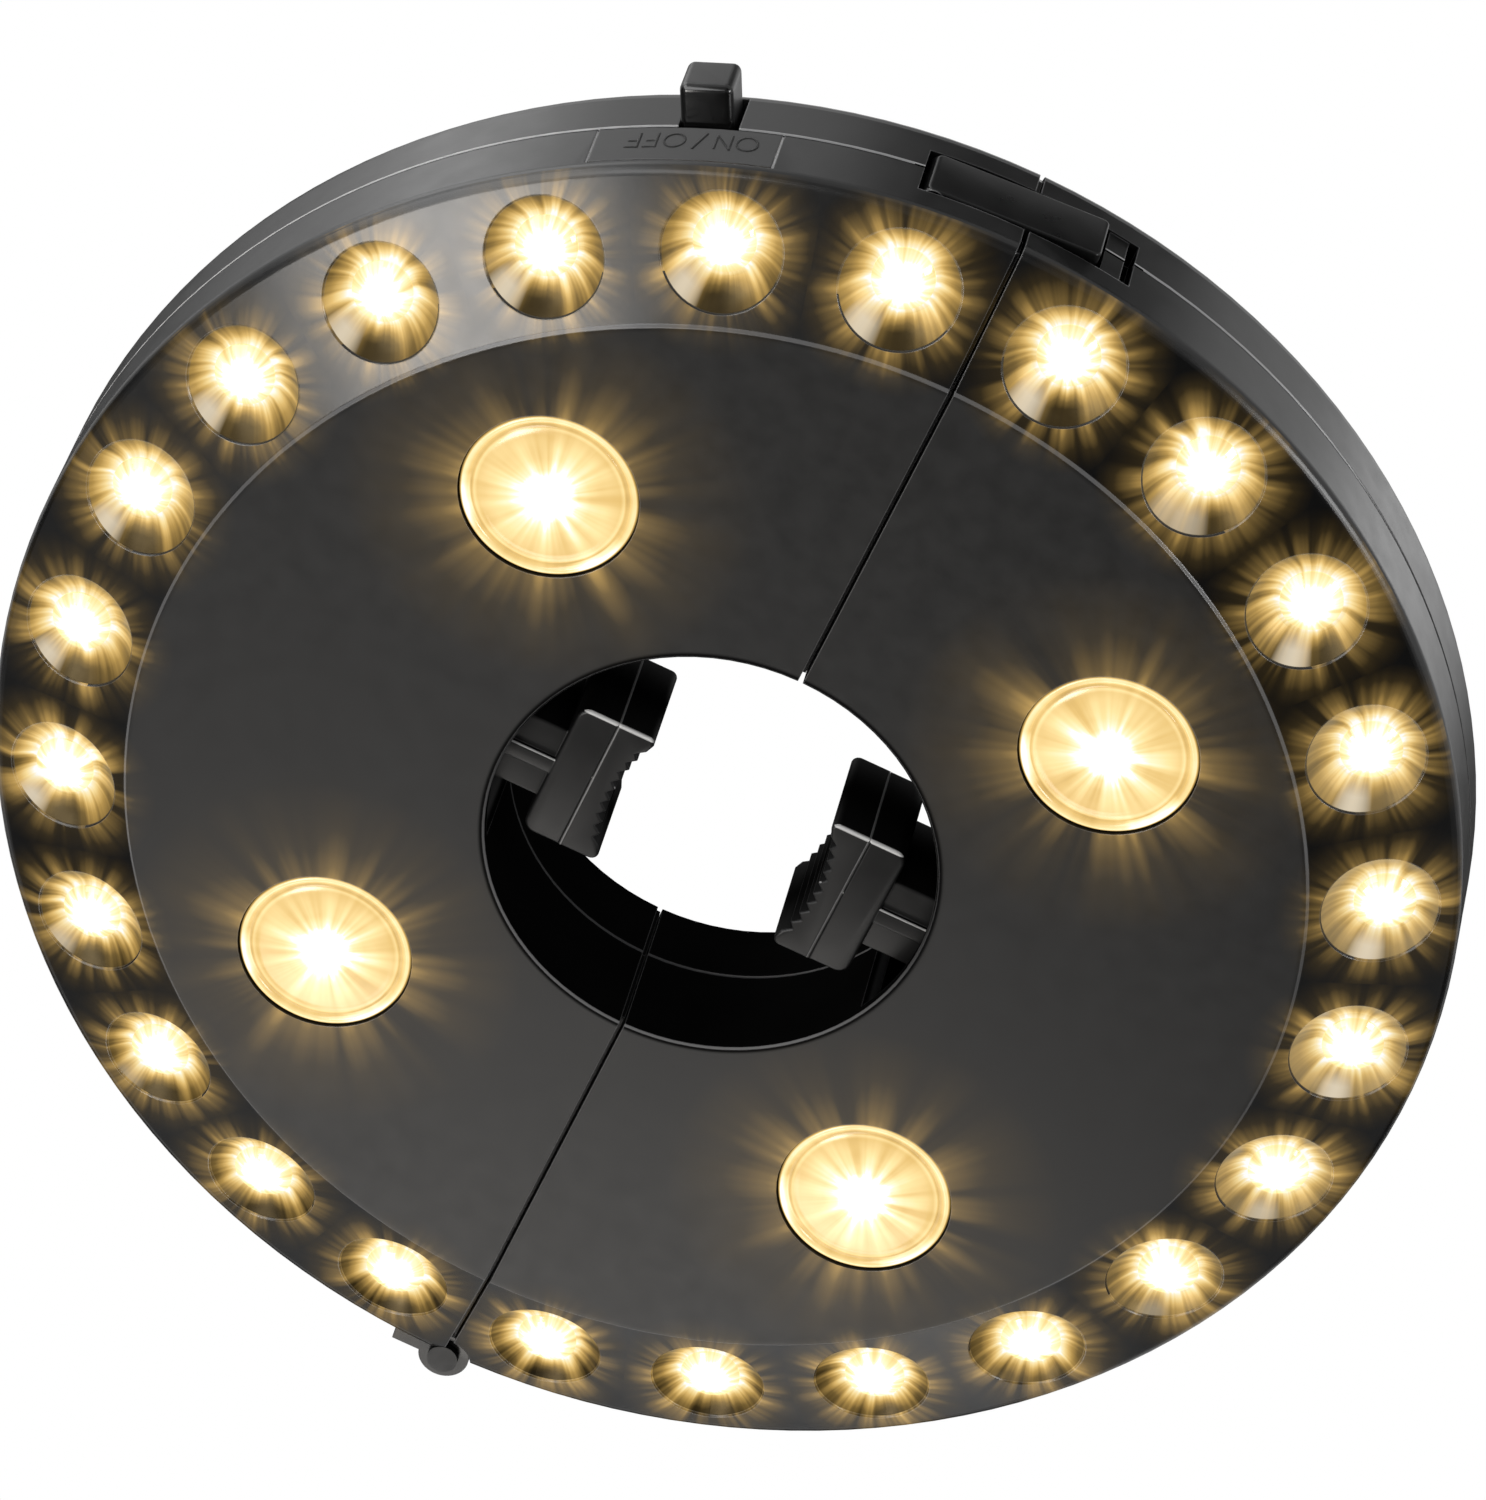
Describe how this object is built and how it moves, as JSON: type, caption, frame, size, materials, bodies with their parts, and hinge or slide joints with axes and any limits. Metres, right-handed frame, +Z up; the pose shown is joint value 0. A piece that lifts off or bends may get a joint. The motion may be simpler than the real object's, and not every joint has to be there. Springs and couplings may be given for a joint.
{
  "type": "umbrella pole light",
  "caption": "Cordless ring light that hinges open and clamps round an umbrella pole: rim of small lights, large spot lights, spring jaws, latch, push button and fold-out hooks.",
  "frame": {"origin": "on the axis of the umbrella pole, in the plane of the lit face", "axes": "+Z up the pole from the lit face to the back with the hooks, +X toward the half with the button, +Y toward the latch, -Y toward the hinge"},
  "size_m": [0.22, 0.2254, 0.0325],
  "materials": {
    "shell": "satin, fine moulded grain",
    "inner_plastic": "matte",
    "plated": "vacuum-plated, bright",
    "lens": "clear plastic, polished",
    "led": "clear to cream, lit",
    "board": "coated board",
    "pad_rubber": "matte",
    "spring_steel": "plain",
    "screw_steel": "black zinc",
    "contact_steel": "nickel-plated",
    "cell_can": "plain coloured can"
  },
  "bodies": {
    "main_half": {"main_face_shell": "shell", "main_back_shell": "shell", "main_reflector_ring": "plated", "main_led_board": "board", "main_ring_leds": "led", "main_spot_lenses": "lens", "main_spot_reflectors": "plated", "main_spot_leds": "led", "main_jaw_spring": "spring_steel", "main_jaw_cover": "inner_plastic", "main_cover_screws": "screw_steel", "main_inner_cell": "cell_can", "main_outer_cell": "cell_can", "main_battery_contacts": "contact_steel", "main_housing_screws": "screw_steel", "hinge_pin": "spring_steel", "latch_pin": "spring_steel", "mode_switch": "inner_plastic", "control_board": "board"},
    "swing_half": {"swing_face_shell": "shell", "swing_back_shell": "shell", "swing_reflector_ring": "plated", "swing_led_board": "board", "swing_ring_leds": "led", "swing_spot_lenses": "lens", "swing_spot_reflectors": "plated", "swing_spot_leds": "led", "swing_jaw_spring": "spring_steel", "swing_jaw_cover": "inner_plastic", "swing_cover_screws": "screw_steel", "swing_inner_cell": "cell_can", "swing_outer_cell": "cell_can", "swing_battery_contacts": "contact_steel", "swing_housing_screws": "screw_steel"},
    "main_jaw": {"main_jaw": "inner_plastic", "main_jaw_pad": "pad_rubber"},
    "swing_jaw": {"swing_jaw": "inner_plastic", "swing_jaw_pad": "pad_rubber"},
    "main_hook": {"main_hook": "shell"},
    "swing_hook": {"swing_hook": "shell"},
    "main_door": {"main_battery_door": "shell"},
    "swing_door": {"swing_battery_door": "shell"},
    "mode_button": {"mode_button": "shell", "switch_plunger": "inner_plastic"},
    "latch": {"latch": "shell"}
  },
  "joints": [
    {"name": "half_swing", "type": "hinge", "parent": "main_half", "child": "swing_half", "pos_m": [0, -0.1105, 0.016], "axis": [0, 0, 1], "range_deg": [0, 80]},
    {"name": "latch_turn", "type": "hinge", "parent": "main_half", "child": "latch", "pos_m": [0.0138, 0.1073, 0.0187], "axis": [0, 0, -1], "range_deg": [0, 70]},
    {"name": "main_jaw_slide", "type": "slide", "parent": "main_half", "child": "main_jaw", "axis": [1, 0, 0], "range_m": [-0.006, 0.007], "stiffness_N_per_m": 500, "deforming": ["main_jaw_spring"]},
    {"name": "swing_jaw_slide", "type": "slide", "parent": "swing_half", "child": "swing_jaw", "axis": [-1, 0, 0], "range_m": [-0.006, 0.007], "stiffness_N_per_m": 500, "deforming": ["swing_jaw_spring"]},
    {"name": "mode_button_press", "type": "slide", "parent": "main_half", "child": "mode_button", "axis": [-0.4226, -0.9063, 0], "range_m": [0, 0.001], "stiffness_N_per_m": 1500},
    {"name": "main_hook_fold", "type": "hinge", "parent": "main_half", "child": "main_hook", "pos_m": [0.041, 0, 0.03085], "axis": [0, -1, 0], "range_deg": [0, 90]},
    {"name": "swing_hook_fold", "type": "hinge", "parent": "swing_half", "child": "swing_hook", "pos_m": [-0.041, 0, 0.03085], "axis": [0, 1, 0], "range_deg": [0, 90]},
    {"name": "main_door_lift", "type": "slide", "parent": "main_half", "child": "main_door", "axis": [0, 0, 1], "range_m": [0, 0.025]},
    {"name": "swing_door_lift", "type": "slide", "parent": "swing_half", "child": "swing_door", "axis": [0, 0, 1], "range_m": [0, 0.025]}
  ]
}
